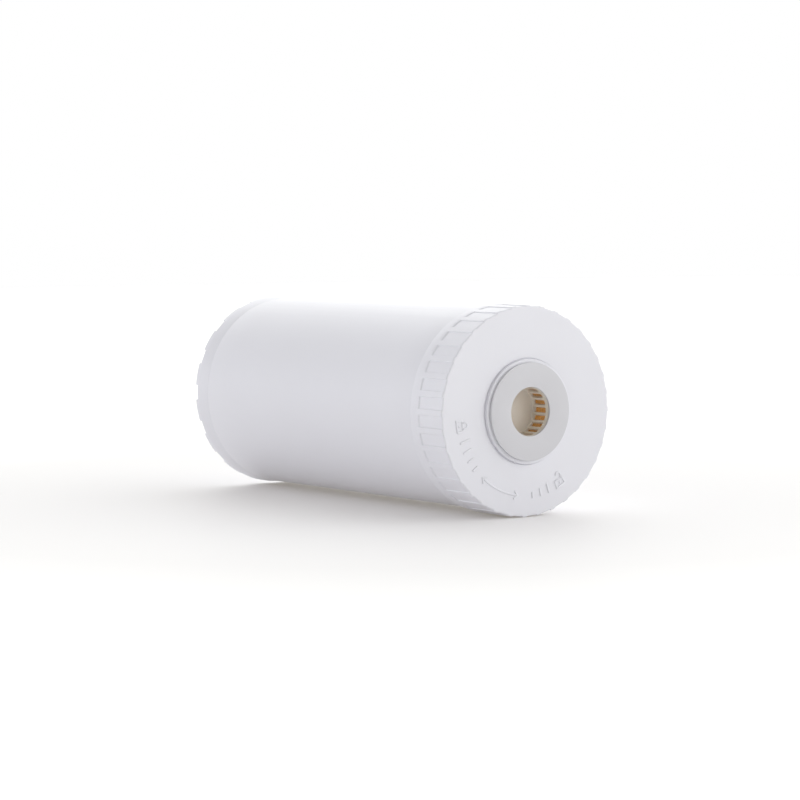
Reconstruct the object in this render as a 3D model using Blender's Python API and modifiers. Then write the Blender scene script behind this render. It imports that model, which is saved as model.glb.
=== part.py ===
"""Refillable drop-in water filter cartridge, lying on its side.

A plain canister tube holds a bed of resin beads. A screw cap with recessed grip panels closes its
front end. The cap carries a flat sealing gasket round a slotted strainer cup in a fine mesh sleeve,
which lets the water out. The rear end is a fixed base: a castellated foot lets the water in under it,
to a ring of inlet slots over a foam pad, and a blind socket in its middle takes a knob.

Metres, +Z up. The cartridge's axis lies along X, the front end points to +X, and the lowest grip
panels touch the floor at Z = 0.
"""
import math

import bmesh
import bpy
from mathutils import Matrix

# Driving dimensions, in metres
CAP_RADIUS = 0.0570            # over the lands between the grip recesses
TUBE_RADIUS = 0.0552
RIM_X = 0.1221                 # middle of the cartridge to the flat face of the front cap
FOOT_X = 0.1255                # middle of the cartridge to the end of the rear foot
GASKET_PROUD = 0.0034          # gasket's outer face above the cap's face
GAP = 0.0003                   # clearance between neighbouring pieces

# Front cap: heights are measured along the axis from the cap's flat face, outward positive
CAP_SKIRT_LENGTH = 0.0280
CAP_PLATE = 0.0030
CAP_EDGE = 0.0007
GRIP_PANELS = 36               # one land and one recess each
RECESS_DEPTH = 0.0006
RECESS_LENGTH = 0.0208
RECESS_WIDTH = 0.0065
CAP_BORE_RADIUS = 0.0545       # wall between the turns of the cap's thread
BOSS_RADIUS = 0.0282
BOSS_HEIGHT = 0.0017
BOSS_FILLET = 0.0014
RIB_INNER = 0.0488             # ring under the plate that centres the O-ring
RIB_OUTER = 0.0495
RIB_DEPTH = 0.0020

# Rear base: heights are measured along the axis from the end of its foot, outward positive
BASE_RADIUS = 0.0559
BASE_LENGTH = 0.0125
BASE_BORE_RADIUS = 0.0532      # skirt's inner wall, round the tube's neck
FOOT_INNER_RADIUS = 0.0520
FOOT_DEPTH = 0.0040            # foot's end to the outer face of the plate
BASE_PLATE = 0.0025
NOTCHES = 16
NOTCH_WIDTH = 0.0087
NOTCH_DEPTH = 0.0022
SOCKET_FLOOR = -0.0150
SOCKET_WALL_RADIUS = 0.0150
INLET_SLOTS = 24
INLET_SLOT_WIDTH = 0.0030
INLET_SLOT_INNER = 0.0200
INLET_SLOT_OUTER = 0.0460

# Gasket and strainer cup
BORE_RADIUS = 0.0132
GASKET_RADIUS = 0.0265
CUP_RADIUS = 0.0146
CUP_FLOOR = -0.0113
CUP_FLOOR_THICKNESS = 0.0015
FLANGE_RADIUS = 0.0180
FLANGE_THICKNESS = 0.0012
STRAINER_SLOTS = 20
STRAINER_SLOT_WIDTH = 0.0026
STRAINER_SLOT_TOP = -0.0005
STRAINER_SLOT_BOTTOM = -0.0101
SLEEVE_THICKNESS = 0.0004
LEDGE_RADIUS = 0.0150          # hole in the cap that the cup passes through
LEDGE_THICKNESS = 0.0010
POCKET_RADIUS = 0.0170         # wider hole under the ledge

# Canister tube
TUBE_BORE_RADIUS = 0.0524
NECK_BORE_RADIUS = 0.0506
NECK_RADIUS = 0.0529           # between the turns of the tube's thread
TUBE_RIM_DEPTH = 0.0062        # cap's face to the tube's front rim
SHOULDER_DEPTH = 0.0284        # cap's face to the shoulder behind the skirt
NECK_TAPER = 0.0030

# Screw thread, right-handed
THREAD_PITCH = 0.0050
THREAD_TURNS = 2.5
THREAD_BASE_WIDTH = 0.0020
THREAD_CREST_WIDTH = 0.0010
THREAD_ROOT_SINK = 0.0014      # how far a ridge is rooted in its wall
TUBE_THREAD_CREST = 0.0541
CAP_THREAD_CREST = 0.0533
TUBE_THREAD_START = -0.0225    # height of the inner end of the tube's ridge
CAP_THREAD_OFFSET = -0.0018    # cap's ridge bears on the inner flank of the tube's ridge

# O-ring, foam pads and resin bed
O_RING_RADIUS = 0.05175
O_RING_SECTION = 0.0013
PAD_INNER = 0.0240
PAD_OUTER = 0.0484
PAD_BOTTOM = -0.0100
REAR_PAD_INNER = 0.0156
REAR_PAD_THICKNESS = 0.0067

# Facets
CAP_STEPS = 24                 # the lowest facet is the flat that the cap or base rests on
TUBE_STEPS = 48
CUP_STEPS = 40
RING_STEPS = 36
THREAD_STEPS = 36              # per turn
O_RING_SIDES = 8

COLLECTION_NAME = "water_filter_cartridge"
CUTTER_COLLECTION_NAME = "cutters"
MERGE_DISTANCE = 0.00001
SHARP_ANGLE = math.radians(25)
AXIS_HEIGHT = CAP_RADIUS


def clear_scene():
    for item in list(bpy.data.objects):
        bpy.data.objects.remove(item, do_unlink=True)


def make_collection(name):
    collection = bpy.data.collections.new(name)
    bpy.context.scene.collection.children.link(collection)
    return collection


def make_material(name, colour, roughness):
    material = bpy.data.materials.new(name)
    material.use_nodes = True
    shader = material.node_tree.nodes["Principled BSDF"]
    shader.inputs["Base Color"].default_value = (*colour, 1.0)
    shader.inputs["Roughness"].default_value = roughness
    shader.inputs["Metallic"].default_value = 0.0
    return material


def make_end(name, place, side):
    """Empty on the cartridge's axis at X = place; its own Z points to the given side, +X or -X."""
    end = bpy.data.objects.new(name, None)
    end.location = (place, 0.0, AXIS_HEIGHT)
    end.rotation_euler = (0.0, side * math.pi / 2, 0.0)
    parts.objects.link(end)
    return end


def add_object(name, mesh, parent, collection, material=None):
    item = bpy.data.objects.new(name, mesh)
    item.parent = parent
    collection.objects.link(item)
    if material:
        mesh.materials.append(material)
    return item


def turned(name, profile, steps, material, parent, closed=True, phase=0.0):
    """Solid of revolution about the parent's Z. The profile runs down its outer side."""
    mesh = bpy.data.meshes.new(name)
    points = [(radius, 0.0, height) for radius, height in profile]
    edges = [(i, i + 1) for i in range(len(points) - 1)]
    if closed:
        edges.append((len(points) - 1, 0))
    mesh.from_pydata(points, edges, [])
    item = add_object(name, mesh, parent, parts, material)
    item.rotation_euler = (0.0, 0.0, phase)
    screw = item.modifiers.new("turn", 'SCREW')
    screw.steps = steps
    screw.render_steps = steps
    screw.use_merge_vertices = True
    screw.merge_threshold = MERGE_DISTANCE
    return item


def ring_profile(inner, outer, low, high):
    return [(inner, high), (outer, high), (outer, low), (inner, low)]


def helical_ridge(name, wall, crest, start, parent):
    """Thread ridge rooted in a wall of radius wall, with both ends running out into it."""
    outward = 1.0 if crest > wall else -1.0
    root = wall - outward * THREAD_ROOT_SINK
    buried = wall - outward * THREAD_ROOT_SINK / 2
    stations = int(THREAD_STEPS * THREAD_TURNS)
    mesh = bpy.data.meshes.new(name)
    bm = bmesh.new()
    sections = []
    for i in range(stations + 1):
        angle = 2 * math.pi * (i + 0.5) / THREAD_STEPS
        height = start + THREAD_PITCH * i / THREAD_STEPS
        tip = buried if i in (0, stations) else crest
        outline = [(root, -THREAD_BASE_WIDTH / 2), (tip, -THREAD_CREST_WIDTH / 2),
                   (tip, THREAD_CREST_WIDTH / 2), (root, THREAD_BASE_WIDTH / 2)]
        sections.append([bm.verts.new((radius * math.cos(angle), radius * math.sin(angle), height + rise))
                         for radius, rise in outline])
    for near, far in zip(sections, sections[1:]):
        for k in range(4):
            bm.faces.new((near[k], near[(k + 1) % 4], far[(k + 1) % 4], far[k]))
    bm.faces.new(sections[0])
    bm.faces.new(sections[-1])
    bmesh.ops.recalc_face_normals(bm, faces=bm.faces)
    bm.to_mesh(mesh)
    bm.free()
    return hide_tool(add_object(name, mesh, parent, cutters))


def box_ring(name, count, size, radius, low, high, parent, phase=0.0):
    """Ring of boxes, size being radial depth and width, from height low to height high."""
    depth, width = size
    mesh = bpy.data.meshes.new(name)
    bm = bmesh.new()
    for i in range(count):
        angle = phase + 2 * math.pi * i / count
        cube = bmesh.ops.create_cube(bm, size=1.0)["verts"]
        bmesh.ops.scale(bm, vec=(depth, width, high - low), verts=cube)
        bmesh.ops.translate(bm, vec=(radius + depth / 2, 0.0, (high + low) / 2), verts=cube)
        turn = ((math.cos(angle), -math.sin(angle), 0.0), (math.sin(angle), math.cos(angle), 0.0),
                (0.0, 0.0, 1.0))
        bmesh.ops.transform(bm, matrix=Matrix(turn).to_4x4(), verts=cube)
    bm.to_mesh(mesh)
    bm.free()
    return hide_tool(add_object(name, mesh, parent, cutters))


def hide_tool(item):
    item.hide_render = True
    item.display_type = 'WIRE'
    return item


def combine(item, tool, operation):
    boolean = item.modifiers.new(tool.name, 'BOOLEAN')
    boolean.operation = operation
    boolean.solver = 'EXACT'
    boolean.object = tool


def over_flats(profile):
    """Same profile with each radius measured to the middle of a facet."""
    return [(radius / math.cos(math.pi / CAP_STEPS), height) for radius, height in profile]


def turned_over_flats(name, profile, material, parent, closed=True):
    """Solid of revolution that rests on its lowest facet."""
    return turned(name, over_flats(profile), CAP_STEPS, material, parent, closed,
                  phase=math.pi / CAP_STEPS)


def cap_profile():
    fillet_centre = (BOSS_RADIUS + BOSS_FILLET, BOSS_FILLET)
    boss_foot = [(fillet_centre[0] - BOSS_FILLET * math.cos(a), fillet_centre[1] - BOSS_FILLET * math.sin(a))
                 for a in (0.0, math.pi / 4, math.pi / 2)]
    seat_radius = FLANGE_RADIUS + GAP
    seat_height = BOSS_HEIGHT - FLANGE_THICKNESS - GAP
    boss_edge = BOSS_HEIGHT - BOSS_FILLET
    return ([(LEDGE_RADIUS, seat_height), (seat_radius, seat_height), (seat_radius, BOSS_HEIGHT),
             (BOSS_RADIUS - boss_edge, BOSS_HEIGHT)] + boss_foot
            + [(CAP_RADIUS - CAP_EDGE, 0.0), (CAP_RADIUS, -CAP_EDGE),
               (CAP_RADIUS, CAP_EDGE - CAP_SKIRT_LENGTH), (CAP_RADIUS - CAP_EDGE, -CAP_SKIRT_LENGTH),
               (CAP_BORE_RADIUS + 2 * CAP_EDGE, -CAP_SKIRT_LENGTH),
               (CAP_BORE_RADIUS, 2 * CAP_EDGE - CAP_SKIRT_LENGTH), (CAP_BORE_RADIUS, -CAP_PLATE),
               (RIB_OUTER, -CAP_PLATE), (RIB_OUTER, -CAP_PLATE - RIB_DEPTH),
               (RIB_INNER, -CAP_PLATE - RIB_DEPTH), (RIB_INNER, -CAP_PLATE),
               (POCKET_RADIUS, -CAP_PLATE), (POCKET_RADIUS, seat_height - LEDGE_THICKNESS),
               (LEDGE_RADIUS, seat_height - LEDGE_THICKNESS)])


def make_cap(name, end):
    cap = turned_over_flats(name, cap_profile(), white_cap, end)
    recesses = box_ring(name + "_grip_recesses", GRIP_PANELS, (3 * RECESS_DEPTH, RECESS_WIDTH),
                        CAP_RADIUS - RECESS_DEPTH, -RECESS_LENGTH, CAP_EDGE, end,
                        phase=math.pi / GRIP_PANELS)
    combine(cap, recesses, 'DIFFERENCE')
    ridge = helical_ridge(name + "_thread", CAP_BORE_RADIUS, CAP_THREAD_CREST,
                          TUBE_THREAD_START + CAP_THREAD_OFFSET, end)
    combine(cap, ridge, 'UNION')


def base_profile():
    """Right side of the base, from the socket's floor round its foot and skirt to the cup's underside."""
    plate_inside = -FOOT_DEPTH - BASE_PLATE
    cup_underside = SOCKET_FLOOR - CUP_FLOOR_THICKNESS
    return [(0.0, SOCKET_FLOOR), (BORE_RADIUS, SOCKET_FLOOR), (BORE_RADIUS, -FOOT_DEPTH),
            (FOOT_INNER_RADIUS, -FOOT_DEPTH), (FOOT_INNER_RADIUS, 0.0), (BASE_RADIUS - CAP_EDGE, 0.0),
            (BASE_RADIUS, -CAP_EDGE), (BASE_RADIUS, CAP_EDGE - BASE_LENGTH),
            (BASE_RADIUS - CAP_EDGE, -BASE_LENGTH), (BASE_BORE_RADIUS, -BASE_LENGTH),
            (BASE_BORE_RADIUS, plate_inside), (SOCKET_WALL_RADIUS, plate_inside),
            (SOCKET_WALL_RADIUS, cup_underside), (0.0, cup_underside)]


def make_base(name, end):
    base = turned_over_flats(name, base_profile(), white_cap, end, closed=False)
    wall = BASE_RADIUS - FOOT_INNER_RADIUS
    notches = box_ring(name + "_notches", NOTCHES, (2 * wall, NOTCH_WIDTH), FOOT_INNER_RADIUS - wall / 4,
                       -NOTCH_DEPTH, NOTCH_DEPTH, end)
    combine(base, notches, 'DIFFERENCE')
    slots = box_ring(name + "_inlet_slots", INLET_SLOTS,
                     (INLET_SLOT_OUTER - INLET_SLOT_INNER, INLET_SLOT_WIDTH), INLET_SLOT_INNER,
                     -2 * (FOOT_DEPTH + BASE_PLATE), -FOOT_DEPTH / 2, end)
    combine(base, slots, 'DIFFERENCE')


def cup_profile():
    outer_floor = CUP_FLOOR - CUP_FLOOR_THICKNESS
    flange_under = BOSS_HEIGHT - FLANGE_THICKNESS
    return [(0.0, CUP_FLOOR), (BORE_RADIUS, CUP_FLOOR), (BORE_RADIUS, BOSS_HEIGHT),
            (FLANGE_RADIUS, BOSS_HEIGHT), (FLANGE_RADIUS, flange_under), (CUP_RADIUS, flange_under),
            (CUP_RADIUS, outer_floor), (0.0, outer_floor)]


def make_strainer(name, end):
    strainer = turned(name, cup_profile(), CUP_STEPS, cream_plastic, end, closed=False)
    slots = box_ring(name + "_slots", STRAINER_SLOTS, (2 * (CUP_RADIUS - BORE_RADIUS), STRAINER_SLOT_WIDTH),
                     BORE_RADIUS - (CUP_RADIUS - BORE_RADIUS) / 2, STRAINER_SLOT_BOTTOM,
                     STRAINER_SLOT_TOP, end)
    combine(strainer, slots, 'DIFFERENCE')


def make_mesh_sleeve(name, end):
    top = BOSS_HEIGHT - FLANGE_THICKNESS - LEDGE_THICKNESS - 2 * GAP
    inner = CUP_RADIUS + GAP
    profile = ring_profile(inner, inner + SLEEVE_THICKNESS, CUP_FLOOR - CUP_FLOOR_THICKNESS, top)
    turned(name, profile, CUP_STEPS, mesh_cloth, end)


def make_gasket(name, end):
    profile = ring_profile(BORE_RADIUS, GASKET_RADIUS, BOSS_HEIGHT + GAP, GASKET_PROUD)
    turned(name, profile, RING_STEPS, grey_rubber, end)


def make_o_ring(name, end):
    height = -CAP_PLATE - GAP - O_RING_SECTION
    profile = [(O_RING_RADIUS + O_RING_SECTION * math.cos(a), height - O_RING_SECTION * math.sin(a))
               for a in (2 * math.pi * (i + 0.5) / O_RING_SIDES for i in range(O_RING_SIDES))]
    turned(name, profile, RING_STEPS, black_rubber, end)


def make_foam_pad(name, inner, low, high, end):
    turned(name, ring_profile(inner, PAD_OUTER, low, high), RING_STEPS, foam, end)


def neck_outside(rim, shoulder):
    """Outer side of one end of the tube, from the rim's inner edge down to the body."""
    return [(NECK_BORE_RADIUS, rim), (NECK_RADIUS - CAP_EDGE, rim), (NECK_RADIUS, rim - CAP_EDGE),
            (NECK_RADIUS, shoulder), (TUBE_RADIUS - CAP_EDGE, shoulder),
            (TUBE_RADIUS, shoulder - CAP_EDGE)]


def neck_inside(shoulder):
    """The bore's taper behind a shoulder, from the body to the neck."""
    return [(TUBE_BORE_RADIUS, shoulder - 2 * NECK_TAPER), (NECK_BORE_RADIUS, shoulder - NECK_TAPER)]


def reversed_end(points):
    return [(radius, -height) for radius, height in reversed(points)]


def make_tube(middle, end):
    front_shoulder = RIM_X - SHOULDER_DEPTH
    rear_rim = FOOT_X - FOOT_DEPTH - BASE_PLATE - GAP
    rear_shoulder = FOOT_X - BASE_LENGTH - GAP
    profile = (neck_outside(RIM_X - TUBE_RIM_DEPTH, front_shoulder)
               + reversed_end(neck_outside(rear_rim, rear_shoulder))
               + reversed_end(neck_inside(rear_shoulder)) + neck_inside(front_shoulder))
    tube = turned("canister_tube", profile, TUBE_STEPS, white_tube, middle)
    ridge = helical_ridge("canister_tube_thread", NECK_RADIUS, TUBE_THREAD_CREST, TUBE_THREAD_START, end)
    combine(tube, ridge, 'UNION')


def make_resin_bed(middle):
    """Beads fill the tube between the pads, with a collar of beads up round the strainer."""
    cavity = CUP_RADIUS + 3 * GAP + SLEEVE_THICKNESS - GAP / 2
    inside_pocket = RIM_X + BOSS_HEIGHT - FLANGE_THICKNESS - LEDGE_THICKNESS - 2 * GAP
    collar_top = RIM_X - CAP_PLATE - GAP
    front_top = RIM_X + PAD_BOTTOM - GAP
    front_taper = RIM_X - SHOULDER_DEPTH - NECK_TAPER - GAP
    rear_cavity_floor = FOOT_X + SOCKET_FLOOR - CUP_FLOOR_THICKNESS - GAP
    rear_top = FOOT_X - FOOT_DEPTH - BASE_PLATE - REAR_PAD_THICKNESS - 2 * GAP
    rear_taper = FOOT_X - BASE_LENGTH - NECK_TAPER - 2 * GAP
    front = [(0.0, RIM_X + CUP_FLOOR - CUP_FLOOR_THICKNESS - GAP),
             (cavity, RIM_X + CUP_FLOOR - CUP_FLOOR_THICKNESS - GAP), (cavity, inside_pocket),
             (POCKET_RADIUS - GAP, inside_pocket), (POCKET_RADIUS - GAP, collar_top),
             (PAD_INNER - GAP, collar_top), (PAD_INNER - GAP, front_top),
             (NECK_BORE_RADIUS - GAP, front_top), (NECK_BORE_RADIUS - GAP, front_taper),
             (TUBE_BORE_RADIUS - GAP, front_taper - NECK_TAPER)]
    rear = [(0.0, rear_cavity_floor), (REAR_PAD_INNER, rear_cavity_floor), (REAR_PAD_INNER, rear_top),
            (NECK_BORE_RADIUS - GAP, rear_top), (NECK_BORE_RADIUS - GAP, rear_taper),
            (TUBE_BORE_RADIUS - GAP, rear_taper - NECK_TAPER)]
    turned("resin_bed", front + reversed_end(rear), TUBE_STEPS, amber_resin, middle, closed=False)


def bake_and_smooth():
    """Replace each piece's modifiers by their result, shaded smooth except at its edges."""
    depsgraph = bpy.context.evaluated_depsgraph_get()
    pieces = [item for item in parts.objects if item.type == 'MESH']
    finished = [bpy.data.meshes.new_from_object(piece.evaluated_get(depsgraph)) for piece in pieces]
    for piece, mesh in zip(pieces, finished):
        piece.modifiers.clear()
        piece.data = mesh
        mesh.name = piece.name
        mesh.shade_smooth()
        mesh.set_sharp_from_angle(angle=SHARP_ANGLE)


clear_scene()
parts = make_collection(COLLECTION_NAME)
cutters = make_collection(CUTTER_COLLECTION_NAME)

white_cap = make_material("white_cap", (0.76, 0.75, 0.80), 0.35)
white_tube = make_material("white_tube", (0.74, 0.74, 0.78), 0.40)
cream_plastic = make_material("cream_plastic", (0.68, 0.60, 0.50), 0.45)
mesh_cloth = make_material("mesh_cloth", (0.70, 0.66, 0.58), 0.80)
grey_rubber = make_material("grey_rubber", (0.60, 0.60, 0.63), 0.60)
black_rubber = make_material("black_rubber", (0.03, 0.03, 0.03), 0.55)
foam = make_material("foam", (0.72, 0.72, 0.70), 0.95)
amber_resin = make_material("amber_resin", (0.42, 0.24, 0.07), 0.45)

front_end = make_end("front_end", RIM_X, 1)
rear_end = make_end("rear_end", -FOOT_X, -1)
middle = bpy.data.objects.new("middle", None)
middle.location = (0.0, 0.0, AXIS_HEIGHT)
middle.rotation_euler = (0.0, math.pi / 2, 0.0)
parts.objects.link(middle)

make_tube(middle, front_end)
make_resin_bed(middle)

make_cap("front_cap", front_end)
make_gasket("front_gasket", front_end)
make_strainer("front_strainer", front_end)
make_mesh_sleeve("front_mesh_sleeve", front_end)
make_o_ring("front_o_ring", front_end)
make_foam_pad("front_foam_pad", PAD_INNER, PAD_BOTTOM, -CAP_PLATE - GAP, front_end)

make_base("rear_base", rear_end)
under_plate = -FOOT_DEPTH - BASE_PLATE - GAP
make_foam_pad("rear_foam_pad", REAR_PAD_INNER, under_plate - REAR_PAD_THICKNESS, under_plate, rear_end)

bake_and_smooth()
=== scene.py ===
"""Looks of a refillable drop-in water filter cartridge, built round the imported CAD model.

The canister tube, the screw cap, the gasket, the slotted strainer in its woven sleeve, the O-ring, the
castellated rear base, the foam pads and the bed of resin beads are each modelled again at full detail, in
the places that the CAD gives, and stand for the CAD nodes.

Round pieces are drawn as profiles in the frame of their end of the cartridge. A profile point is
(radius, height, rounding) in millimetres: radius from the cartridge's axis, height outward from the flat
face of the front cap or from the end of the rear foot, and the radius that the corner is rounded to.
"""
import math

import bmesh
import bpy
import numpy as np
from mathutils import Matrix, Vector, noise


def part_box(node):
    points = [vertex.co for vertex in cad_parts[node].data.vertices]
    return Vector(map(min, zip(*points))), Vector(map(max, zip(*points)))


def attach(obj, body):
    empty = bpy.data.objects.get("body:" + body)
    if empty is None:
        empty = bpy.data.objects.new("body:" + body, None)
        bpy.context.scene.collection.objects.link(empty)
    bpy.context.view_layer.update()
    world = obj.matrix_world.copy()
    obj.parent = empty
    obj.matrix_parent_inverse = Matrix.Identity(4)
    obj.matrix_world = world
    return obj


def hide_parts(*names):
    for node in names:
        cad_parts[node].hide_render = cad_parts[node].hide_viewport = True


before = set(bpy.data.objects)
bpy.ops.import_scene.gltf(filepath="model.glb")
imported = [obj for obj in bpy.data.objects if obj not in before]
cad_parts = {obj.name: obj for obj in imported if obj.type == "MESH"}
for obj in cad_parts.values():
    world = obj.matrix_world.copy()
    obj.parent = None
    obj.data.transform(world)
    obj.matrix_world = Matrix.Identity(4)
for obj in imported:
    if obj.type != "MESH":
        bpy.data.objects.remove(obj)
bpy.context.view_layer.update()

MM = 0.001
FRONT = 1
REAR = -1

# Fineness of round shapes
ARC_STEPS = 5                  # in a rounded corner of a profile
CORNER_STEPS = 4               # in a rounded corner of a slot
LARGE_COLUMNS = 256            # round the tube, the base and the gasket
SOFT_COLUMNS = 240             # round the O-ring and the foam pads
BED_COLUMNS = 192
CUP_COLUMNS = 160

# Front cap, mm
CAP_RADIUS = 57.0
CAP_LENGTH = 28.0
CAP_PLATE = 3.0
CAP_BORE = 54.5
CAP_MOUTH_RADIUS = 55.9
CAP_MOUTH_CHAMFER = 1.4
FACE_RINGS = (34.0, 42.0, 50.0)
SKIRT_RINGS = (1.6, 4.0, 8.0, 12.0, 16.0, 19.0)
RECESS_END_STATIONS = (1.0, 0.75, 0.5, 0.25, 0.0)
LAST_SKIRT_RING = -24.0
SEAT_BORE = 15.0               # the cup's flange lies in this seat, in the middle of the boss
SEAT_RADIUS = 18.3
SEAT_HEIGHT = 0.2
SEAT_UNDERSIDE = -0.8
SEAT_HOLLOW_RADIUS = 17.0
RIB_RADII = (48.8, 49.5)       # presses on the foam pad
RIB_UNDERSIDE = -5.0
RECESS_LENGTH = 20.8
RECESS_DEPTH = 0.46
RECESS_END_ROUNDING = 0.6
BOSS_RADIUS = 28.2
BOSS_HEIGHT = 1.7
BOSS_GROOVE_WIDTH = 0.6
BOSS_GROOVE_DEPTH = 0.5
GRIP_PANELS = 36
GRIP_PHASE_DEGREES = -1.0
LAND_HALF_WIDTH = math.radians(1.65)
RECESS_WALL = math.radians(0.32)
LAND_STATIONS = (0.0, 0.45, 0.8)
WALL_STATIONS = (-0.5, -0.25, 0.0, 0.25, 0.5)
FLOOR_STATIONS = (0.12, 0.35, 0.65, 1.0)
PLAIN_RADIUS = 55.0            # the grip recesses fade out on the face between these two
FULL_RECESS_RADIUS = 56.0
FADE_RINGS = (PLAIN_RADIUS, 55.35, 55.7)

# Rear base, mm
BASE_RADIUS = 55.9
BASE_LENGTH = 12.5
BASE_BORE = 53.2
FOOT_INNER_RADIUS = 52.0
BASE_FACE = -4.0
BASE_FACE_RINGS = (17.0, 30.0, 42.0, 49.0)
BASE_INSIDE = -6.5
SKIRT_STRAIGHT = -4.0          # the base's outside tapers down to the tube's from here
SOCKET_FLOOR = -15.0
SOCKET_UNDERSIDE = -16.5
SOCKET_WALL_RADIUS = 15.0
NOTCHES = 16
NOTCH_WIDTH = 8.7
NOTCH_DEPTH = 2.2
NOTCH_CORNER = 0.4
INLET_SLOTS = 24
INLET_SLOT_WIDTH = 3.0
INLET_SLOT_CORNER = 1.2
INLET_SLOT_ENDS = (20.0, 46.0)
CHAMFER = 0.3

# Gasket and strainer, mm
BORE_RADIUS = 13.2
FLOOR_RING = 6.0               # in the cup's floor and in the socket's
GASKET_RADIUS = 26.5
GASKET_RING = 20.0
GASKET_HEIGHTS = (2.0, 3.4)
CUP_RADIUS = 14.6
CUP_FLOOR = -11.3
CUP_UNDERSIDE = -12.8
FLANGE_RADIUS = 18.0
FLANGE_UNDERSIDE = 0.5
STRAINER_SLOTS = 20
STRAINER_SLOT_WIDTH = 2.6
STRAINER_SLOT_CORNER = 0.45
STRAINER_SLOT_HEIGHTS = (-10.1, -0.5)
SLEEVE_RADIUS = 15.1
SLEEVE_HEIGHTS = (-12.8, -1.1)
WIRE_PITCH = 0.60
WIRE_HALF_WIDTH = 0.085
WEAVE_DEPTH = 0.06

# Tube, mm
TUBE_RADIUS = 55.2
TUBE_BORE = 52.4
NECK_RADIUS = 52.9
NECK_BORE = 50.6
RIM_HEIGHT = -6.2
SHOULDER_HEIGHT = -28.4
REAR_RIM_HEIGHT = -6.8
REAR_SHOULDER_HEIGHT = -12.55
TUBE_RINGS = (20.0, 60.0)      # below a shoulder
TAPER_DEPTHS = (3.0, 6.0)      # below a shoulder, where the neck's bore widens to the tube's

# Screw thread, mm
THREAD_PITCH = 5.0
THREAD_TURNS = 2.5
THREAD_STATIONS = 72           # per turn
THREAD_RUNOUT = 0.06           # turns over which a ridge sinks into its wall
THREAD_START_ANGLE = math.radians(5)
TUBE_RIDGE_CREST = 54.1
TUBE_RIDGE_START = -22.5
CAP_RIDGE_CREST = 53.3
CAP_RIDGE_START = -24.3
RIDGE_ROOT_SINK = 0.4
RIDGE_SHOULDER = 0.2
RIDGE_ROOT, RIDGE_SIDE, RIDGE_TOP = 1.0, 0.62, 0.42    # half its height at root, shoulder and crest

# Seals, pads and beads, mm
O_RING = (51.75, -4.6, 1.3)    # ring radius, height, section radius
FRONT_PAD = ((24.0, 48.4), (-10.0, -3.3))
REAR_PAD = ((15.6, 48.4), (-13.5, -6.8))
PAD_ROUNDING = 0.9
PAD_RING_INSET = 2.0
PAD_RINGS = 14
PAD_UNEVENNESS = 0.11
PAD_NOISE_SCALE = 0.9
PAD_NOISE_MIDDLE = 0.45
O_RING_STEPS = 24
BED_FRONT = ((0.0, -13.1, 0.0), (16.3, -13.1, 0.5), (16.3, -3.6, 0.3), (23.7, -3.6, 0.5),
             (23.7, -10.3, 0.8), (50.3, -10.3, 0.6), (50.3, -31.7, 1.0), (52.1, -34.7, 1.0))
BED_REAR = ((0.0, -16.8, 0.0), (15.6, -16.8, 0.5), (15.6, -13.8, 0.5), (50.3, -13.8, 0.6),
            (50.3, -15.9, 0.5), (52.1, -18.9, 1.0))
BEAD_RADIUS = 0.46
BEAD_LAYER_RADIUS = 16.22
BEAD_ROWS = 14
BEAD_SPACING = 2.02            # bead radii from bead to bead in a row
BEAD_SIZES = (0.86, 1.0)
BEAD_OUTWARD = (-0.02, 0.10)
BEAD_TURN_SPREAD = 0.004       # radians
BEAD_RISE_SPREAD = 0.06
BEAD_SEED = 7

# Raised marks on the cap's face, mm and degrees round the face from its right-hand side
MARK_RADIUS = 44.0
MARK_WIDTH = 1.0
MARK_HEIGHT = 0.45
MARK_ROOT = -0.15
MARK_SHOULDER = 0.6            # of the height, where the rounding of its edges begins
MARK_EDGE = 0.16
MARK_FOOT_LINE = 3.2           # outward from the marks' circle
MITRE_LIMIT = 0.45
SHUT_LOCK_AT = 188.0
SHUT_BARS_AT = (199.0, 206.0, 213.0, 220.0)
ARROW_FROM_TO = (229.0, 262.0)
ARROW_RADIUS = 45.3
ARROW_HEAD = (2.3, 2.1)        # its length and half its width
ARROW_LINE_INSET = 0.9
ARROW_LINE_POINTS = 25
OPEN_BARS_AT = (275.0, 282.0, 289.0)
OPEN_LOCK_AT = 300.0
BAR_HEIGHTS = (3.5, 4.5, 5.5, 6.5)
LOCK_HALF_WIDTH = 2.8
LOCK_FOOT = 3.4
LOCK_TOP = -0.4
SHACKLE_RADIUS = 1.7
SHACKLE_CENTRE = -1.9
SHACKLE_POINTS = 9
OPEN_SHACKLE_TILT = math.radians(28)
OPEN_SHACKLE_END = -1.6
KEYHOLE = (0.9, 2.1)

# Camera and light, metres
CAMERA_PLACE = (1.2898, -0.9237, 0.1594)
CAMERA_TARGET = (0.0057, 0.0, 0.0570)
LENS = 125.14
SENSOR_WIDTH = 36.0            # with LENS, in mm
CLIP_END = 50.0
FLOOR_SIZE = 9.0
FLOOR_GLOW = (0.118, 0.107, 0.086)   # the table is translucent and lit a little from below
# Floor colour by distance from the middle: painted shade, darker round the cartridge where its shadow falls,
# lighter farther off.
FLOOR_PAINTED_SHADE = (               # (distance from the middle, colour)
    (0.15, (0.735, 0.735, 0.76)),
    (0.32, (0.765, 0.765, 0.78)),
    (0.60, (0.94, 0.94, 0.94)),
)

tube_low, tube_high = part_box("canister_tube")
axis_height = (tube_low.z + tube_high.z) / 2
face_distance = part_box("front_gasket")[1].x - GASKET_HEIGHTS[1] * MM
foot_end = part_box("rear_base")[0].x


# ---------------------------------------------------------------- placing

def end_place(side):
    """From millimetres in an end's frame, Z outward, to metres in the row frame."""
    origin = Matrix.Translation((face_distance if side == FRONT else foot_end, 0.0, axis_height))
    return origin @ Matrix.Rotation(side * math.pi / 2, 4, 'Y') @ Matrix.Scale(MM, 4)


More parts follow.
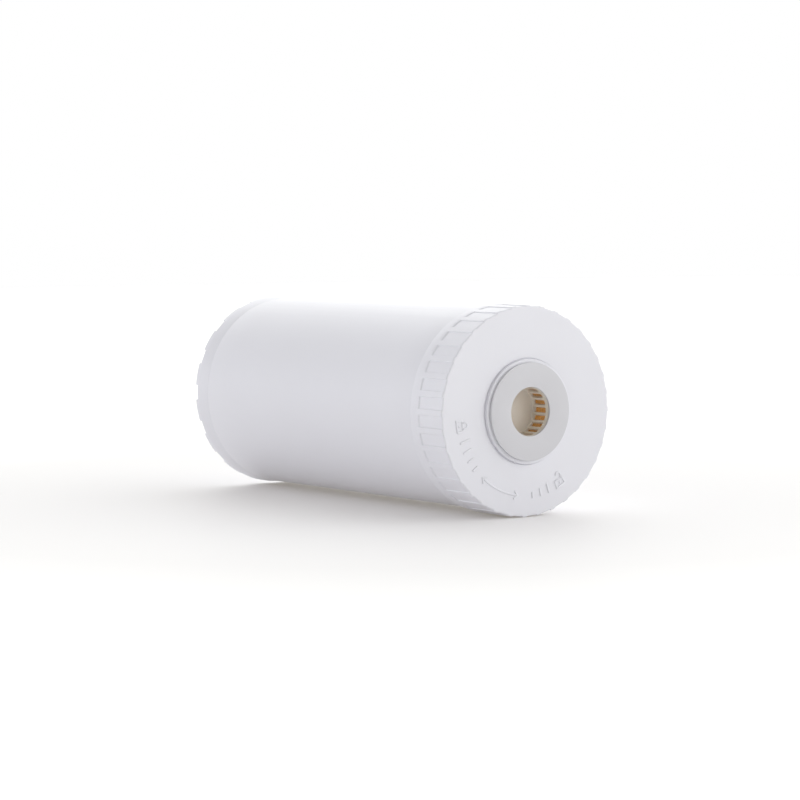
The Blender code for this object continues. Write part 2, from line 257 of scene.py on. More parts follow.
def face_angle(degrees):
    """Angle in the front's frame of a direction given counterclockwise from the face's right-hand side."""
    return math.radians(degrees + 90.0)


# ---------------------------------------------------------------- profiles and shells

def rounded(corners, closed=True):
    """Profile through corners (radius, height, rounding), each corner replaced by its arc."""
    points = []
    for i, (radius, height, rounding) in enumerate(corners):
        at_end = not closed and i in (0, len(corners) - 1)
        if rounding == 0.0 or at_end:
            points.append((radius, height))
            continue
        here = Vector((radius, height))
        back = (Vector(corners[i - 1][:2]) - here).normalized()
        ahead = (Vector(corners[(i + 1) % len(corners)][:2]) - here).normalized()
        half = math.acos(max(-1.0, min(1.0, back.dot(ahead)))) / 2
        centre = here + (back + ahead).normalized() * rounding / math.sin(half)
        first = here + back * rounding / math.tan(half) - centre
        last = here + ahead * rounding / math.tan(half) - centre
        arc = math.atan2(first.cross(last), first.dot(last))
        for k in range(ARC_STEPS + 1):
            spoke = first.copy()
            spoke.rotate(Matrix.Rotation(arc * k / ARC_STEPS, 2))
            points.append(tuple(centre + spoke))
    return points


def even_angles(count, phase=0.0):
    """Angles of equal steps round a circle, in radians."""
    return [phase + 2 * math.pi * i / count for i in range(count)]


def grid_faces(columns, rows, wrap_columns=True, wrap_rows=True):
    """Four-sided faces between the points of a grid, column after column."""
    faces = []
    for i in range(columns if wrap_columns else columns - 1):
        for j in range(rows if wrap_rows else rows - 1):
            near, far = i * rows, (i + 1) % columns * rows
            below = (j + 1) % rows
            faces.append((near + j, near + below, far + below, far + j))
    return faces


def lathe(profile, angles, closed=True, reshape=None):
    """Shell of a profile turned through angles. reshape(radius, height, angle) may move the radius."""
    radius, height = np.array(profile, float).T
    turn = np.array(angles)[:, None]
    radius = np.repeat(radius[None, :], len(angles), 0)
    height = np.repeat(height[None, :], len(angles), 0)
    if reshape:
        radius = reshape(radius, height, turn)
    points = np.stack([radius * np.cos(turn), radius * np.sin(turn), height], -1)
    return points.reshape(-1, 3), grid_faces(len(angles), len(profile), wrap_rows=closed)


def sweep(sections, looped):
    """Shell through equal closed sections, with its two ends filled unless it is looped."""
    points = np.array(sections, float)
    count, size = points.shape[:2]
    faces = grid_faces(count, size, wrap_columns=looped)
    if not looped:
        faces.append(tuple(range(size - 1, -1, -1)))
        faces.append(tuple((count - 1) * size + k for k in range(size)))
    return points.reshape(-1, 3), faces


def smooth_step(value, low, high):
    """0 below low, 1 above high and an even curve between them."""
    share = np.clip((value - low) / (high - low), 0.0, 1.0)
    return share * share * (3 - 2 * share)


def thread_ridge(wall, crest, start):
    """Screw thread ridge standing on a wall of that radius, with both ends sinking into it."""
    outward = 1.0 if crest > wall else -1.0
    root = wall - RIDGE_ROOT_SINK * outward
    sections = []
    for i in range(int(THREAD_STATIONS * THREAD_TURNS) + 1):
        turns = i / THREAD_STATIONS
        run = min(turns, THREAD_TURNS - turns) / THREAD_RUNOUT
        tip = root + (crest - root) * float(smooth_step(run, -0.1, 1.0))
        shoulder = tip - RIDGE_SHOULDER * outward
        angle = THREAD_START_ANGLE + 2 * math.pi * turns
        outline = ((root, -RIDGE_ROOT), (shoulder, -RIDGE_SIDE), (tip, -RIDGE_TOP),
                   (tip, RIDGE_TOP), (shoulder, RIDGE_SIDE), (root, RIDGE_ROOT))
        sections.append([(r * math.cos(angle), r * math.sin(angle), start + THREAD_PITCH * turns + h)
                         for r, h in outline])
    return sweep(sections, looped=False)


def rounded_rectangle(length, width, corner):
    """Outline of a rectangle about the origin, counterclockwise."""
    outline = []
    for quarter, (sx, sy) in enumerate(((1, 1), (-1, 1), (-1, -1), (1, -1))):
        for k in range(CORNER_STEPS + 1):
            turn = math.pi / 2 * (quarter + k / CORNER_STEPS)
            outline.append((sx * (length / 2 - corner) + corner * math.cos(turn),
                            sy * (width / 2 - corner) + corner * math.sin(turn)))
    return outline


def inlet_slot_cutters():
    """Radial slots through the base's plate, with a chamfered mouth."""
    inner, outer = INLET_SLOT_ENDS
    levels = ((BASE_FACE + 1.0, CHAMFER), (BASE_FACE, CHAMFER), (BASE_FACE - CHAMFER, 0.0),
              (BASE_INSIDE - 1.0, 0.0))
    shells = []
    for turn in even_angles(INLET_SLOTS):
        across, along = (-math.sin(turn), math.cos(turn)), (math.cos(turn), math.sin(turn))
        rings = []
        for height, extra in levels:
            outline = rounded_rectangle(outer - inner + 2 * extra, INLET_SLOT_WIDTH + 2 * extra,
                                        INLET_SLOT_CORNER + extra)
            rings.append([((u + (inner + outer) / 2) * along[0] + v * across[0],
                           (u + (inner + outer) / 2) * along[1] + v * across[1], height)
                          for u, v in outline])
        shells.append(sweep(rings, looped=False))
    return shells


def through_wall(count, heights, width, corner, levels):
    """Ring of cutters that run outward through a wall, each level being (radius, extra size)."""
    low, high = heights
    shells = []
    for turn in even_angles(count):
        rings = []
        for radius, extra in levels:
            outline = rounded_rectangle(high - low + 2 * extra, width + 2 * extra, corner + extra)
            rings.append([(radius * math.cos(turn) - v * math.sin(turn),
                           radius * math.sin(turn) + v * math.cos(turn), u + (low + high) / 2)
                          for u, v in outline])
        shells.append(sweep(rings, looped=False))
    return shells


def strainer_slot_cutters():
    """Upright slots through the strainer's wall, with chamfered mouths inside."""
    levels = ((BORE_RADIUS - 1.0, 0.2), (BORE_RADIUS, 0.2), (BORE_RADIUS + 0.25, 0.0),
              (CUP_RADIUS + 1.0, 0.0))
    return through_wall(STRAINER_SLOTS, STRAINER_SLOT_HEIGHTS, STRAINER_SLOT_WIDTH,
                        STRAINER_SLOT_CORNER, levels)


def notch_cutters():
    """Square notches in the foot's end, with chamfered mouths outside."""
    levels = ((FOOT_INNER_RADIUS - 1.0, 0.0), (BASE_RADIUS - CHAMFER, 0.0),
              (BASE_RADIUS + 1.0, 1.0 + CHAMFER))
    return through_wall(NOTCHES, (-NOTCH_DEPTH, NOTCH_DEPTH), NOTCH_WIDTH, NOTCH_CORNER, levels)


# ---------------------------------------------------------------- building pieces

def shell_mesh(name, shells, place):
    """One mesh of shells, in the row frame, with every shell's faces turned outward."""
    points = []
    faces = []
    for shell_points, shell_faces in shells:
        first = sum(len(p) for p in points)
        points.append(np.asarray(shell_points, float))
        faces += [tuple(first + k for k in face) for face in shell_faces]
    mesh = bpy.data.meshes.new(name)
    mesh.from_pydata(np.concatenate(points).tolist(), [], faces)
    mesh.transform(place)
    work = bmesh.new()
    work.from_mesh(mesh)
    bmesh.ops.remove_doubles(work, verts=work.verts, dist=0.001 * MM)
    bmesh.ops.recalc_face_normals(work, faces=work.faces)
    work.to_mesh(mesh)
    work.free()
    return mesh


def add_object(name, data):
    """A new object in the scene that shows a mesh or a camera."""
    item = bpy.data.objects.new(name, data)
    bpy.context.scene.collection.objects.link(item)
    return item


def cut_out(mesh, cutter_mesh):
    """The mesh less the cutters' volume."""
    item = add_object("cut_target", mesh)
    tool = add_object("cut_tool", cutter_mesh)
    boolean = item.modifiers.new("cut", 'BOOLEAN')
    boolean.operation = 'DIFFERENCE'
    boolean.solver = 'EXACT'
    boolean.object = tool
    result = bpy.data.meshes.new_from_object(item.evaluated_get(bpy.context.evaluated_depsgraph_get()))
    bpy.data.objects.remove(item)
    bpy.data.objects.remove(tool)
    return result


def add_piece(name, mesh, material, body, nodes=(), sharp_degrees=40):
    """A finished piece: shaded, painted, riding on its body and standing for its CAD nodes."""
    mesh.materials.clear()
    mesh.materials.append(material)
    mesh.shade_smooth()
    mesh.set_sharp_from_angle(angle=math.radians(sharp_degrees))
    piece = add_object(name + "_detail", mesh)
    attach(piece, body)
    if nodes:
        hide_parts(*nodes)
    return piece


# ---------------------------------------------------------------- front cap

def boss_corners():
    """Seat, boss and the groove at the boss's foot."""
    groove_edge = BOSS_RADIUS + BOSS_GROOVE_WIDTH
    return [(SEAT_BORE, SEAT_HEIGHT, 0.15), (SEAT_RADIUS, SEAT_HEIGHT, 0.1),
            (SEAT_RADIUS, BOSS_HEIGHT, 0.2), (BOSS_RADIUS, BOSS_HEIGHT, 0.35),
            (BOSS_RADIUS, -BOSS_GROOVE_DEPTH, 0.1), (groove_edge, -BOSS_GROOVE_DEPTH, 0.1),
            (groove_edge, 0.0, 0.15)]


def face_and_skirt_corners():
    """Face from the groove to the rim, then down the skirt."""
    face = [(r, 0.0, 0.0) for r in FACE_RINGS + FADE_RINGS]
    panel = [(CAP_RADIUS, -h, 0.0) for h in SKIRT_RINGS]
    panel_end = [(CAP_RADIUS, RECESS_END_ROUNDING * share - RECESS_LENGTH, 0.0)
                 for share in RECESS_END_STATIONS]
    return face + [(CAP_RADIUS, 0.0, 0.8)] + panel + panel_end + [(CAP_RADIUS, LAST_SKIRT_RING, 0.0)]


def cap_inside_corners():
    """Mouth, threaded bore, underside of the plate with its rib, underside of the seat."""
    rib_inner, rib_outer = RIB_RADII
    return [(CAP_RADIUS, -CAP_LENGTH, 0.7), (CAP_MOUTH_RADIUS, -CAP_LENGTH, 0.1),
            (CAP_BORE, CAP_MOUTH_CHAMFER - CAP_LENGTH, 0.3), (CAP_BORE, -CAP_PLATE, 0.3),
            (rib_outer, -CAP_PLATE, 0.0), (rib_outer, RIB_UNDERSIDE, 0.2),
            (rib_inner, RIB_UNDERSIDE, 0.2), (rib_inner, -CAP_PLATE, 0.0),
            (SEAT_HOLLOW_RADIUS, -CAP_PLATE, 0.3), (SEAT_HOLLOW_RADIUS, SEAT_UNDERSIDE, 0.2),
            (SEAT_BORE, SEAT_UNDERSIDE, 0.1)]


def grip_angles(phase):
    """Columns round a cap, close together at the walls between its lands and recesses."""
    pitch = 2 * math.pi / GRIP_PANELS
    half = [LAND_HALF_WIDTH * share for share in LAND_STATIONS]
    half += [LAND_HALF_WIDTH + RECESS_WALL * share for share in WALL_STATIONS]
    wall_end = half[-1]
    half += [wall_end + (pitch / 2 - wall_end) * share for share in FLOOR_STATIONS]
    panel = half + [pitch - angle for angle in reversed(half[1:-1])]
    return [phase + pitch * i + angle for i in range(GRIP_PANELS) for angle in panel]


def grip_recesses(phase):
    """Reshapes the skirt's outside: each panel between two lands is sunk, open at the cap's face."""
    pitch = 2 * math.pi / GRIP_PANELS

    def reshape(radius, height, angle):
        from_land = np.abs((angle - phase + pitch / 2) % pitch - pitch / 2)
        across = smooth_step(from_land, LAND_HALF_WIDTH - RECESS_WALL / 2,
                             LAND_HALF_WIDTH + RECESS_WALL / 2)
        along = smooth_step(height, -RECESS_LENGTH, RECESS_END_ROUNDING - RECESS_LENGTH)
        outside = smooth_step(radius, PLAIN_RADIUS, FULL_RECESS_RADIUS)
        return radius - RECESS_DEPTH * across * along * outside

    return reshape


def build_cap(name, body, material):
    """Screw cap with its grip panels, and the thread inside it."""
    phase = face_angle(GRIP_PHASE_DEGREES)
    profile = rounded(boss_corners() + face_and_skirt_corners() + cap_inside_corners())
    shell = lathe(profile, grip_angles(phase), reshape=grip_recesses(phase))
    add_piece(name, shell_mesh(name, [shell], end_place(FRONT)), material, body, [name])
    ridge = thread_ridge(CAP_BORE, CAP_RIDGE_CREST, CAP_RIDGE_START)
    thread = shell_mesh(name + "_thread", [ridge], end_place(FRONT))
    add_piece(name + "_thread", thread, material, body)


# ---------------------------------------------------------------- rear base

def base_profile():
    """Base's outline in order: socket, plate, foot, skirt, inside, underside of the socket."""
    socket = [(0.0, SOCKET_FLOOR, 0.0), (FLOOR_RING, SOCKET_FLOOR, 0.0),
              (BORE_RADIUS, SOCKET_FLOOR, 0.6), (BORE_RADIUS, BASE_FACE, 0.5)]
    plate = [(r, BASE_FACE, 0.0) for r in BASE_FACE_RINGS]
    foot = [(FOOT_INNER_RADIUS, BASE_FACE, 0.8), (FOOT_INNER_RADIUS, 0.0, 0.4), (BASE_RADIUS, 0.0, 0.6)]
    skirt = [(BASE_RADIUS, SKIRT_STRAIGHT, 2.0), (TUBE_RADIUS, -BASE_LENGTH, 0.12),
             (BASE_BORE, -BASE_LENGTH, 0.1), (BASE_BORE, BASE_INSIDE, 0.3)]
    underside = [(SOCKET_WALL_RADIUS, BASE_INSIDE, 0.3), (SOCKET_WALL_RADIUS, SOCKET_UNDERSIDE, 0.5),
                 (0.0, SOCKET_UNDERSIDE, 0.0)]
    return rounded(socket + plate + foot + skirt + underside, closed=False)


def build_base(name, body, material):
    """Fixed base with the notches in its foot and the inlet slots in its plate."""
    shell = lathe(base_profile(), even_angles(LARGE_COLUMNS), closed=False)
    mesh = shell_mesh(name, [shell], end_place(REAR))
    mesh = cut_out(mesh, shell_mesh("notches", notch_cutters(), end_place(REAR)))
    mesh = cut_out(mesh, shell_mesh("slots", inlet_slot_cutters(), end_place(REAR)))
    add_piece(name, mesh, material, body, [name])


# ---------------------------------------------------------------- raised marks

def stroke_section():
    """Raised line's cross-section: (across, rise)."""
    half = 0.5 * MARK_WIDTH
    shoulder = MARK_SHOULDER * MARK_HEIGHT
    return ((-half, MARK_ROOT), (-half, shoulder), (-half + MARK_EDGE, MARK_HEIGHT),
            (half - MARK_EDGE, MARK_HEIGHT), (half, shoulder), (half, MARK_ROOT))


def stroke(path, closed=False):
    """Raised line along a path of (along, outward) points: its sections, and whether it is a loop."""
    points = [Vector(p) for p in path]
    sections = []
    count = len(points)
    for i, here in enumerate(points):
        back = points[i - 1] if closed or i else here - (points[1] - here)
        ahead = points[(i + 1) % count] if closed or i < count - 1 else here + (here - points[i - 1])
        into, out = (here - back).normalized(), (ahead - here).normalized()
        middle = (into + out).normalized()
        across = Vector((-middle.y, middle.x)) / max(MITRE_LIMIT, middle.dot(into))
        sections.append([(here.x + across.x * u, here.y + across.y * u, rise)
                         for u, rise in stroke_section()])
    return sections, closed


def on_face(strokes, degrees, radius=MARK_RADIUS):
    """Shells of strokes bent round the face: along follows the circle, outward follows the radius."""
    shells = []
    for sections, closed in strokes:
        bent = []
        for section in sections:
            bent.append([])
            for along, outward, rise in section:
                turn = face_angle(degrees) + along / radius
                reach = radius + outward
                bent[-1].append((reach * math.cos(turn), reach * math.sin(turn), rise))
        shells.append(sweep(bent, looped=closed))
    return shells


def bar(height):
    """Plain upright bar."""
    return [stroke([(0.0, MARK_FOOT_LINE), (0.0, MARK_FOOT_LINE - height)])]


def padlock(shackle_tilt, shackle_end):
    """Plain padlock, its shackle toward the face's centre. A tilted shackle stands open."""
    case = [(LOCK_HALF_WIDTH, LOCK_FOOT), (-LOCK_HALF_WIDTH, LOCK_FOOT),
            (-LOCK_HALF_WIDTH, LOCK_TOP), (LOCK_HALF_WIDTH, LOCK_TOP)]
    bow = [(SHACKLE_RADIUS * math.cos(a), SHACKLE_CENTRE - SHACKLE_RADIUS * math.sin(a))
           for a in np.linspace(0.0, math.pi, SHACKLE_POINTS)]
    shackle = [(SHACKLE_RADIUS, LOCK_TOP)] + bow + [(-SHACKLE_RADIUS, shackle_end)]
    pivot = Vector((SHACKLE_RADIUS, LOCK_TOP))
    turned = []
    for point in shackle:
        arm = Vector(point) - pivot
        arm.rotate(Matrix.Rotation(shackle_tilt, 2))
        turned.append(tuple(pivot + arm))
    keyhole = [(0.0, outward) for outward in KEYHOLE]
    return [stroke(case, closed=True), stroke(turned), stroke(keyhole)]


def arrow_marks():
    """Curved line with an open head at each end."""
    start, stop = ARROW_FROM_TO
    middle = (start + stop) / 2
    half = math.radians(stop - start) / 2 * ARROW_RADIUS
    line_end = half - ARROW_LINE_INSET
    strokes = [stroke([(along, 0.0) for along in np.linspace(-line_end, line_end, ARROW_LINE_POINTS)])]
    length, half_width = ARROW_HEAD
    for tip, back in ((-half, 1), (half, -1)):
        barb = tip + length * back
        strokes.append(stroke([(barb, half_width), (tip, 0.0), (barb, -half_width)]))
    return on_face(strokes, middle, ARROW_RADIUS)


def build_marks(name, body, material):
    """Raised arrow, a shut and an open padlock, and bars that grow away from the arrow or toward it."""
    shells = arrow_marks()
    shells += on_face(padlock(0.0, LOCK_TOP), SHUT_LOCK_AT)
    shells += on_face(padlock(OPEN_SHACKLE_TILT, OPEN_SHACKLE_END), OPEN_LOCK_AT)
    for degrees, height in zip(SHUT_BARS_AT, reversed(BAR_HEIGHTS)):
        shells += on_face(bar(height), degrees)
    for degrees, height in zip(OPEN_BARS_AT, BAR_HEIGHTS):
        shells += on_face(bar(height), degrees)
    mesh = shell_mesh(name, shells, end_place(FRONT))
    add_piece(name, mesh, material, body, sharp_degrees=50)


# ---------------------------------------------------------------- hub pieces

def build_gasket(name, body, material):
    """Flat washer on the boss."""
    low, high = GASKET_HEIGHTS
    profile = rounded([(BORE_RADIUS, high, 0.25), (GASKET_RING, high, 0.0), (GASKET_RADIUS, high, 0.2),
                       (GASKET_RADIUS, low, 0.2), (BORE_RADIUS, low, 0.2)])
    mesh = shell_mesh(name, [lathe(profile, even_angles(LARGE_COLUMNS))], end_place(FRONT))
    add_piece(name, mesh, material, body, [name])


def cup_profile():
    """Strainer's outline in order: floor, bore, flange, outside, underside."""
    return rounded([(0.0, CUP_FLOOR, 0.0), (FLOOR_RING, CUP_FLOOR, 0.0), (BORE_RADIUS, CUP_FLOOR, 0.6),
                    (BORE_RADIUS, BOSS_HEIGHT, 0.3), (FLANGE_RADIUS, BOSS_HEIGHT, 0.2),
                    (FLANGE_RADIUS, FLANGE_UNDERSIDE, 0.2), (CUP_RADIUS, FLANGE_UNDERSIDE, 0.15),
                    (CUP_RADIUS, CUP_UNDERSIDE, 0.5), (0.0, CUP_UNDERSIDE, 0.0)], closed=False)


def build_strainer(name, body, material):
    """Slotted cup that hangs in the cap's seat."""
    shell = lathe(cup_profile(), even_angles(CUP_COLUMNS), closed=False)
    mesh = shell_mesh(name, [shell], end_place(FRONT))
    mesh = cut_out(mesh, shell_mesh("slots", strainer_slot_cutters(), end_place(FRONT)))
    add_piece(name, mesh, material, body, [name])


def wire_section(centre_radius, height, turn, upright):
    """Square section of a wire on the sleeve, at that height and angle."""
    half = WIRE_HALF_WIDTH
    section = []
    for out, sideways in ((-half, -half), (half, -half), (half, half), (-half, half)):
        radius = centre_radius + out
        angle = turn + (sideways / radius if upright else 0.0)
        rise = 0.0 if upright else sideways
        section.append((radius * math.cos(angle), radius * math.sin(angle), height + rise))
    return section


def build_sleeve(name, body, material):
    """Woven sleeve: upright wires pass in and out of the hoops."""
    low, high = SLEEVE_HEIGHTS
    count = 2 * round(math.pi * SLEEVE_RADIUS / WIRE_PITCH)
    rows = round((high - low) / WIRE_PITCH)
    heights = np.linspace(low + WIRE_HALF_WIDTH, high - WIRE_HALF_WIDTH, rows)
    shells = []
    for i, turn in enumerate(even_angles(count)):
        shells.append(sweep([wire_section(SLEEVE_RADIUS + WEAVE_DEPTH * (-1) ** (i + j), h, turn, True)
                             for j, h in enumerate(heights)], looped=False))
    for j, height in enumerate(heights):
        shells.append(sweep([wire_section(SLEEVE_RADIUS - WEAVE_DEPTH * (-1) ** (i + j), height, turn, False)
                             for i, turn in enumerate(even_angles(count))], looped=True))
    add_piece(name, shell_mesh(name, shells, end_place(FRONT)), material, body, [name])


# ---------------------------------------------------------------- tube and contents

def from_rear(corners):
    """Corners given in the rear end's frame, reversed, in the front end's frame."""
    span = (face_distance - foot_end) / MM
    return [(r, -span - h, rounding) for r, h, rounding in reversed(corners)]


def neck_corners(rim, shoulder, rounding):
    """Rim, neck, shoulder of that rounding, and the first part of the tube's outside."""
    return ([(NECK_BORE, rim, 0.4), (NECK_RADIUS, rim, 0.6), (NECK_RADIUS, shoulder, 0.25),
             (TUBE_RADIUS, shoulder, rounding)]
            + [(TUBE_RADIUS, shoulder - below, 0.0) for below in TUBE_RINGS])


def taper_corners(shoulder):
    """Step inside the tube between its bore and the neck's."""
    neck, tube = TAPER_DEPTHS
    return [(TUBE_BORE, shoulder - tube, 1.0), (NECK_BORE, shoulder - neck, 1.0)]


def build_tube(name, body, material):
    """Plain tube with a neck at each end, and the thread on its front neck."""
    profile = rounded(neck_corners(RIM_HEIGHT, SHOULDER_HEIGHT, 0.5)
                      + from_rear(neck_corners(REAR_RIM_HEIGHT, REAR_SHOULDER_HEIGHT, 0.1))
                      + from_rear(taper_corners(REAR_SHOULDER_HEIGHT)) + taper_corners(SHOULDER_HEIGHT))
    mesh = shell_mesh(name, [lathe(profile, even_angles(LARGE_COLUMNS))], end_place(FRONT))
    add_piece(name, mesh, material, body, ["canister_tube"])
    ridge = thread_ridge(NECK_RADIUS, TUBE_RIDGE_CREST, TUBE_RIDGE_START)
    thread = shell_mesh(name + "_thread", [ridge], end_place(FRONT))
    add_piece(name + "_thread", thread, material, body)


def build_bed(name, body, material):
    """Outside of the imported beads."""
    profile = rounded(list(BED_FRONT) + from_rear(BED_REAR), closed=False)
    mesh = shell_mesh(name, [lathe(profile, even_angles(BED_COLUMNS), closed=False)], end_place(FRONT))
    add_piece(name, mesh, material, body, ["resin_bed"])


def build_beads(name, body, material):
    """The beads that touch the front strainer's sleeve, packed in staggered rows."""
    ball = bmesh.new()
    bmesh.ops.create_icosphere(ball, subdivisions=2, radius=BEAD_RADIUS)
    ball_points = np.array([v.co for v in ball.verts])
    ball_faces = [tuple(v.index for v in f.verts) for f in ball.faces]
    ball.free()
    rng = np.random.default_rng(BEAD_SEED)
    count = int(2 * math.pi * BEAD_LAYER_RADIUS / (BEAD_SPACING * BEAD_RADIUS))
    low, high = SLEEVE_HEIGHTS
    shells = []
    for row, height in enumerate(np.linspace(low + BEAD_RADIUS, high - BEAD_RADIUS, BEAD_ROWS)):
        for turn in even_angles(count, phase=math.pi / count * (row % 2)):
            turn += rng.normal(0.0, BEAD_TURN_SPREAD)
            radius = BEAD_LAYER_RADIUS + rng.uniform(*BEAD_OUTWARD)
            rise = rng.normal(0.0, BEAD_RISE_SPREAD)
            centre = (radius * math.cos(turn), radius * math.sin(turn), height + rise)
            shells.append((ball_points * rng.uniform(*BEAD_SIZES) + centre, ball_faces))
    mesh = shell_mesh(name, shells, end_place(FRONT))
    add_piece(name, mesh, material, body, sharp_degrees=80)


def build_pad(name, side, size, body, material):
    """Foam ring, its faces slightly uneven. Its size is its radii and its heights."""
    (inner, outer), (low, high) = size
    first, last = inner + PAD_RING_INSET, outer - PAD_RING_INSET
    over = [(r, high, 0.0) for r in np.linspace(first, last, PAD_RINGS)]
    under = [(r, low, 0.0) for r in np.linspace(last, first, PAD_RINGS)]
    profile = rounded([(inner, high, PAD_ROUNDING)] + over + [(outer, high, PAD_ROUNDING)]
                      + [(outer, low, PAD_ROUNDING)] + under + [(inner, low, PAD_ROUNDING)])
    points, faces = lathe(profile, even_angles(SOFT_COLUMNS))
    for point in points:
        dent = PAD_UNEVENNESS * (noise.noise(Vector(point) * PAD_NOISE_SCALE) - PAD_NOISE_MIDDLE)
        point[2] += dent if point[2] > (low + high) / 2 else -dent
    mesh = shell_mesh(name, [(points, faces)], end_place(side))
    pad = add_piece(name, mesh, material, body, [name])


def build_o_ring(name, body, material):
    """Seal between the cap and the tube's rim."""
    ring, height, section = O_RING
    turns = np.linspace(0.0, 2 * math.pi, O_RING_STEPS, endpoint=False)
    profile = [(ring + section * math.cos(a), height - section * math.sin(a)) for a in turns]
    mesh = shell_mesh(name, [lathe(profile, even_angles(SOFT_COLUMNS))], end_place(FRONT))
    add_piece(name, mesh, material, body, [name])


# ---------------------------------------------------------------- materials

class Paint:
    """A material's node tree, with short calls for the few nodes that the finishes share."""

    def __init__(self, name, colour, roughness):
        self.material = bpy.data.materials.new(name)
        self.material.use_nodes = True
        self.nodes = self.material.node_tree.nodes
        self.links = self.material.node_tree.links
        self.shader = self.nodes["Principled BSDF"]
        self.shader.inputs["Base Color"].default_value = (*colour, 1.0)
        self.shader.inputs["Roughness"].default_value = roughness
        self.place = self.nodes.new("ShaderNodeTexCoord").outputs["Object"]

    def stretched(self, scale):
        """Coordinates scaled differently along each axis."""
        mapping = self.nodes.new("ShaderNodeMapping")
        mapping.inputs["Scale"].default_value = scale
        self.links.new(self.place, mapping.inputs["Vector"])
        return mapping.outputs["Vector"]

    def noise(self, scale, detail=4.0, vector=None):
        texture = self.nodes.new("ShaderNodeTexNoise")
        texture.inputs["Scale"].default_value = scale
        texture.inputs["Detail"].default_value = detail
        self.links.new(vector or self.place, texture.inputs["Vector"])
        return texture.outputs["Fac"]

    def cells(self, scale):
        """Distance to the nearest of many scattered points."""
        texture = self.nodes.new("ShaderNodeTexVoronoi")
        texture.inputs["Scale"].default_value = scale
        self.links.new(self.place, texture.inputs["Vector"])
        return texture.outputs["Distance"]

    def ramp(self, value, stops):
        """Colour by value, through stops of (value, colour)."""
        ramp = self.nodes.new("ShaderNodeValToRGB")
        ramp.color_ramp.elements[0].position = stops[0][0]
        ramp.color_ramp.elements[0].color = (*stops[0][1], 1.0)
        ramp.color_ramp.elements[1].position = stops[-1][0]
        ramp.color_ramp.elements[1].color = (*stops[-1][1], 1.0)
        for position, colour in stops[1:-1]:
            ramp.color_ramp.elements.new(position).color = (*colour, 1.0)
        self.links.new(value, ramp.inputs["Fac"])
        return ramp.outputs["Color"]

    def colour(self, value, stops):
        self.links.new(self.ramp(value, stops), self.shader.inputs["Base Color"])

    def roughness(self, value, low, high):
        """Roughness between low and high, over the middle of the value's range."""
        spread = self.nodes.new("ShaderNodeMapRange")
        spread.inputs["From Min"].default_value = 0.3
        spread.inputs["From Max"].default_value = 0.7
        spread.inputs["To Min"].default_value = low
        spread.inputs["To Max"].default_value = high
        self.links.new(value, spread.inputs["Value"])
        self.links.new(spread.outputs["Result"], self.shader.inputs["Roughness"])

    def bump(self, heights):
        """Bumps stacked one on another, each (height, depth in metres, strength)."""
        normal = None
        for value, depth, strength in heights:
            bump = self.nodes.new("ShaderNodeBump")
            bump.inputs["Distance"].default_value = depth
            bump.inputs["Strength"].default_value = strength
            self.links.new(value, bump.inputs["Height"])
            if normal:
                self.links.new(normal, bump.inputs["Normal"])
            normal = bump.outputs["Normal"]
        self.links.new(normal, self.shader.inputs["Normal"])


def shade(colour, factor):
    """The colour made darker or lighter by a factor."""
    return tuple(c * factor for c in colour)


def cap_plastic():
    """Moulded satin plastic: fine spark-erosion grain and faint flow marks."""
    base = (0.795, 0.793, 0.840)
    paint = Paint("white_cap", base, 0.38)
    paint.colour(paint.noise(22.0, detail=3.0), ((0.35, shade(base, 0.985)), (0.65, base)))
    paint.roughness(paint.noise(60.0, detail=3.0), 0.34, 0.44)
    paint.bump(((paint.noise(70.0, detail=2.0), 0.0004, 0.05),
                (paint.noise(2600.0, detail=2.0), 0.00003, 0.25)))
    return paint.material


def tube_plastic():
    """Extruded plastic: smoother, with faint die lines along the tube."""
    base = (0.790, 0.788, 0.832)
    paint = Paint("white_tube", base, 0.40)
    paint.shader.inputs["Specular IOR Level"].default_value = 0.4
    lines = paint.stretched((0.6, 60.0, 60.0))
    paint.colour(paint.noise(14.0, detail=3.0), ((0.35, shade(base, 0.988)), (0.65, base)))
    paint.roughness(paint.noise(9.0, detail=4.0, vector=lines), 0.36, 0.46)
    paint.bump(((paint.noise(9.0, detail=3.0, vector=lines), 0.0001, 0.06),
                (paint.noise(1800.0, detail=2.0), 0.00002, 0.2)))
    return paint.material


def cup_plastic():
    """Cream moulded plastic that lets a little light through."""
    base = (0.800, 0.765, 0.695)
    paint = Paint("cream_plastic", base, 0.42)
    paint.shader.inputs["Subsurface Weight"].default_value = 0.08
    paint.shader.inputs["Subsurface Radius"].default_value = (0.004, 0.003, 0.002)
    paint.colour(paint.noise(120.0, detail=3.0), ((0.35, shade(base, 0.93)), (0.65, base)))
    paint.roughness(paint.noise(300.0), 0.36, 0.48)
    paint.bump(((paint.noise(2400.0, detail=2.0), 0.00003, 0.3),))
    return paint.material


def grey_rubber():
    """Matt moulded rubber, with a fine grain and a little dust."""
    base = (0.645, 0.640, 0.668)
    paint = Paint("grey_rubber", base, 0.58)
    paint.colour(paint.noise(45.0, detail=6.0), ((0.30, shade(base, 0.965)), (0.70, base)))
    paint.roughness(paint.noise(160.0), 0.52, 0.66)
    paint.bump(((paint.noise(3200.0, detail=2.0), 0.00004, 0.35),
                (paint.noise(110.0, detail=2.0), 0.0002, 0.04)))
    return paint.material


def black_rubber():
    """Satin rubber of the O-ring."""
    paint = Paint("black_rubber", (0.022, 0.022, 0.024), 0.46)
    paint.colour(paint.noise(200.0), ((0.35, (0.018, 0.018, 0.020)), (0.70, (0.034, 0.034, 0.036))))
    paint.roughness(paint.noise(400.0), 0.38, 0.56)
    paint.bump(((paint.noise(3000.0, detail=2.0), 0.00003, 0.3),))
    return paint.material


